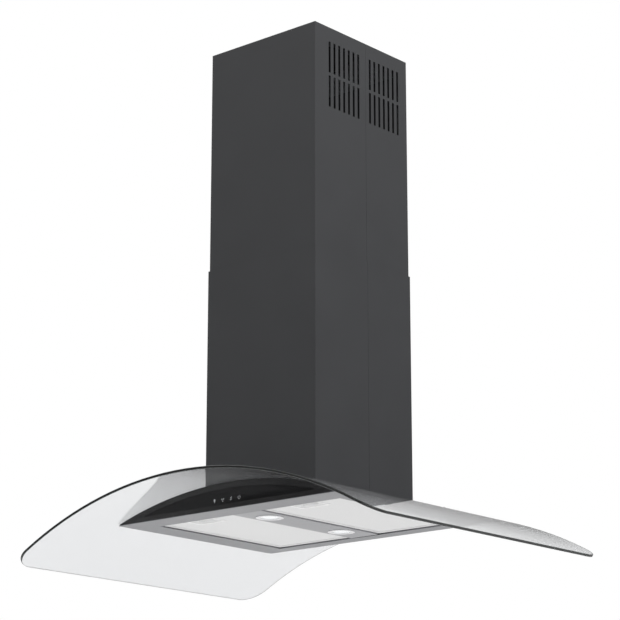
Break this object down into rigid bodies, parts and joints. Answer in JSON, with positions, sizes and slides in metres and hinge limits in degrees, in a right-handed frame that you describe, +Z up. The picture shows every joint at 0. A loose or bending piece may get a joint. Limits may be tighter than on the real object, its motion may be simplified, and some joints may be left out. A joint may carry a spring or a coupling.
{
  "type": "curved glass island range hood",
  "caption": "Island range hood: bent glass canopy on a crescent body with black telescoping chimney, centre lamps, drop-down grease filters, blower and duct collar.",
  "frame": {"origin": "centre of the ceiling plate's top face", "axes": "+Z up along the chimney; +Y towards the rear, away from the control panel; +X to the right seen from the front"},
  "size_m": [0.8992, 0.69, 1.0379],
  "materials": {
    "cover_black": "satin powder coat",
    "fascia_black": "gloss paint",
    "panel_black": "polished",
    "canopy_glass": "clear toughened, polished edge",
    "seal_rubber": "matt",
    "bright_screws": "polished",
    "brushed_steel": "brushed",
    "lamp_chrome": "polished",
    "lamp_lens": "frosted",
    "heat_sink": "cast",
    "filter_aluminium": "matt mesh",
    "latch_steel": "satin",
    "galvanised": "zinc coated",
    "motor_grey": "satin",
    "wheel_plastic": "moulded",
    "duct_plastic": "moulded",
    "board_green": "lacquered"
  },
  "bodies": {
    "ceiling_frame": {"ceiling_plate": "galvanised", "upper_brace": "galvanised", "upper_cover_front": "cover_black", "upper_cover_rear": "cover_black", "upper_post_front_left": "galvanised", "upper_post_front_right": "galvanised", "upper_post_rear_left": "galvanised", "upper_post_rear_right": "galvanised"},
    "hood": {"lower_cover_front": "cover_black", "lower_cover_rear": "cover_black", "front_fascia": "fascia_black", "rear_fascia": "fascia_black", "top_housing": "fascia_black", "control_panel": "panel_black", "glass_canopy": "canopy_glass", "glass_gasket": "seal_rubber", "front_seal": "seal_rubber", "rear_seal": "seal_rubber", "glass_fixings": "bright_screws", "frame_bolts": "bright_screws", "damper_pin": "bright_screws", "underside_rim": "brushed_steel", "light_strip": "brushed_steel", "lamp_bezel_front": "lamp_chrome", "lamp_lens_front": "lamp_lens", "lamp_can_front": "heat_sink", "lamp_bezel_rear": "lamp_chrome", "lamp_lens_rear": "lamp_lens", "lamp_can_rear": "heat_sink", "scroll_side_left": "galvanised", "scroll_side_right": "galvanised", "lower_post_front_left": "galvanised", "lower_post_front_right": "galvanised", "lower_post_rear_left": "galvanised", "lower_post_rear_right": "galvanised", "base_frame": "galvanised", "scroll_wrap": "galvanised", "blower_rail_front": "galvanised", "blower_rail_rear": "galvanised", "motor_bracket": "galvanised", "motor": "motor_grey", "control_box": "duct_plastic", "control_board": "board_green", "outlet_transition": "duct_plastic", "outlet_collar": "duct_plastic"},
    "filter_left": {"filter_frame_left": "filter_aluminium", "filter_mesh_left": "filter_aluminium", "filter_cup_left": "filter_aluminium", "hinge_pins_left": "bright_screws"},
    "filter_right": {"filter_frame_right": "filter_aluminium", "filter_mesh_right": "filter_aluminium", "filter_cup_right": "filter_aluminium", "hinge_pins_right": "bright_screws"},
    "latch_left": {"filter_latch_left": "latch_steel"},
    "latch_right": {"filter_latch_right": "latch_steel"},
    "blower_wheel": {"impeller": "wheel_plastic", "impeller_disc": "wheel_plastic", "motor_shaft": "bright_screws"},
    "damper_left": {"damper_flap_left": "duct_plastic"},
    "damper_right": {"damper_flap_right": "duct_plastic"}
  },
  "joints": [
    {"name": "height_slide", "type": "slide", "parent": "ceiling_frame", "child": "hood", "axis": [0, 0, 1], "range_m": [0, 0.3]},
    {"name": "filter_left_hinge", "type": "hinge", "parent": "hood", "child": "filter_left", "pos_m": [-0.1313, 0.1633, -0.958], "axis": [1, 0, 0], "range_deg": [0, 85]},
    {"name": "filter_right_hinge", "type": "hinge", "parent": "hood", "child": "filter_right", "pos_m": [0.1313, 0.1633, -0.958], "axis": [1, 0, 0], "range_deg": [0, 85]},
    {"name": "latch_left_slide", "type": "slide", "parent": "filter_left", "child": "latch_left", "axis": [0, 1, 0], "range_m": [0, 0.006], "stiffness_N_per_m": 300, "springref_m": -0.003},
    {"name": "latch_right_slide", "type": "slide", "parent": "filter_right", "child": "latch_right", "axis": [0, 1, 0], "range_m": [0, 0.006], "stiffness_N_per_m": 300, "springref_m": -0.003},
    {"name": "blower_spin", "type": "hinge", "parent": "hood", "child": "blower_wheel", "pos_m": [0, -0.037, -0.787], "axis": [1, 0, 0], "continuous": true},
    {"name": "damper_left_swing", "type": "hinge", "parent": "hood", "child": "damper_left", "pos_m": [0, 0, -0.603], "axis": [0, 1, 0], "range_deg": [0, 80]},
    {"name": "damper_right_swing", "type": "hinge", "parent": "hood", "child": "damper_right", "pos_m": [0, 0, -0.603], "axis": [0, -1, 0], "range_deg": [0, 80]}
  ]
}
